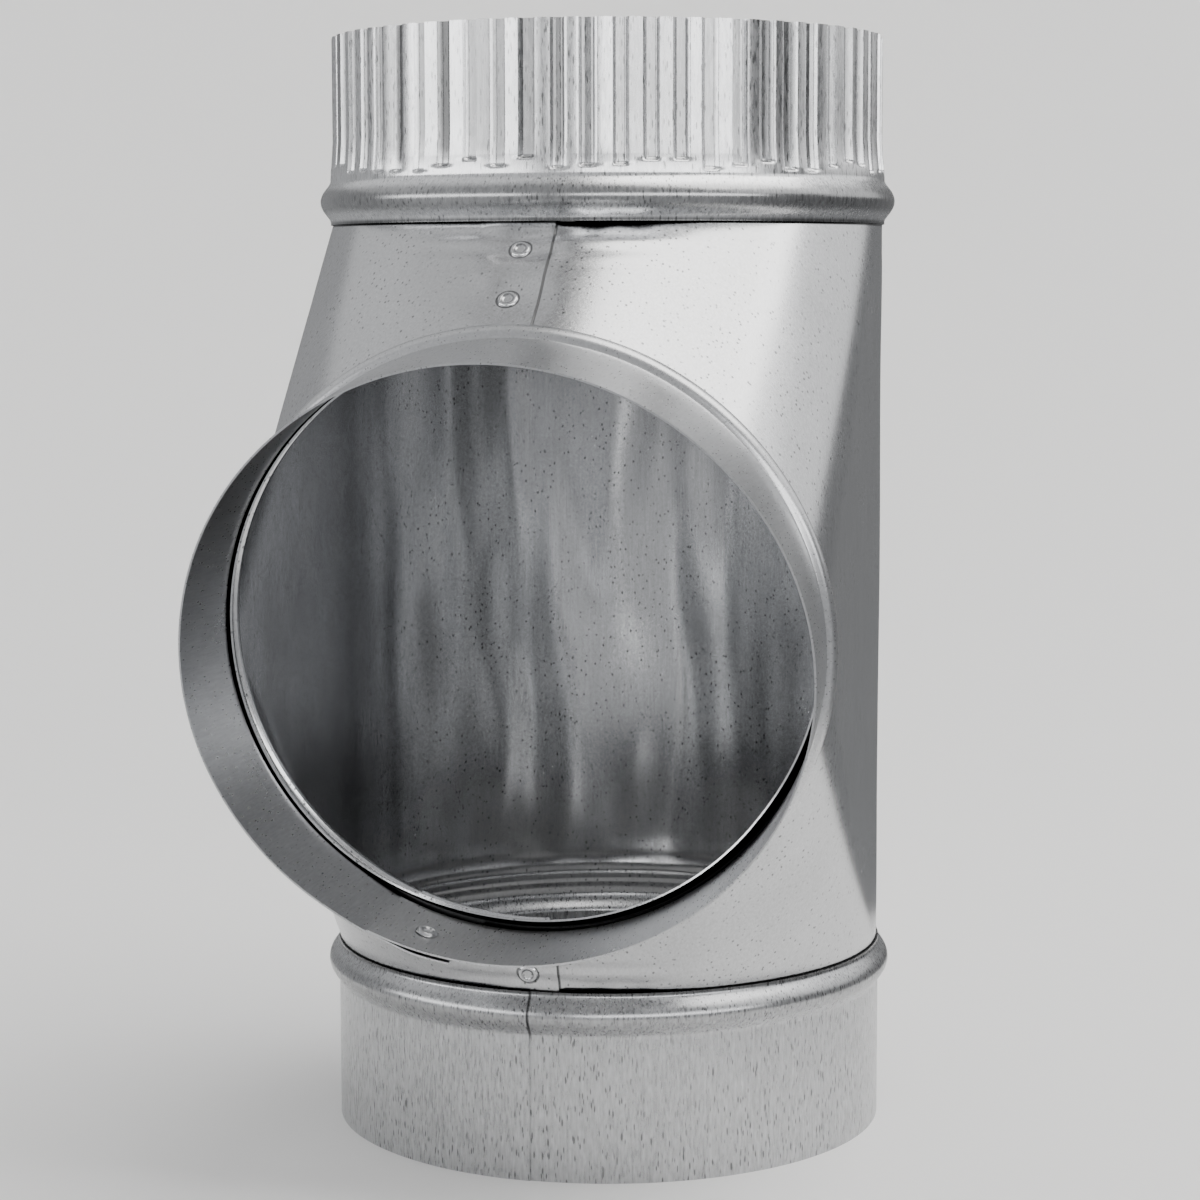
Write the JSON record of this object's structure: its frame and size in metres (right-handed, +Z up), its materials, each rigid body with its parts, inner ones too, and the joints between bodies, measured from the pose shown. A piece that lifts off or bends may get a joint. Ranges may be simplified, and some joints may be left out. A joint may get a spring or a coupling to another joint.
{
  "type": "furnace pipe tee",
  "caption": "Galvanised sheet-metal furnace pipe tee with a crimped upper end, a plain lower end and a short side branch collar, each collar locked on by a rolled bead.",
  "frame": {"origin": "centre of the lower collar's open end, on the plane it stands on", "axes": "+Z up along the run, from the plain end to the crimped end; the branch leaves towards -Y"},
  "size_m": [0.1589, 0.2198, 0.301],
  "materials": {
    "body_sheet": "galvanised, semi-gloss",
    "crimped_sheet": "galvanised, semi-gloss",
    "lower_sheet": "galvanised, semi-gloss",
    "branch_sheet": "galvanised, semi-gloss"
  },
  "bodies": {
    "root": {"body": "body_sheet", "crimped_collar": "crimped_sheet", "lower_collar": "lower_sheet", "branch_collar": "branch_sheet"}
  },
  "joints": []
}
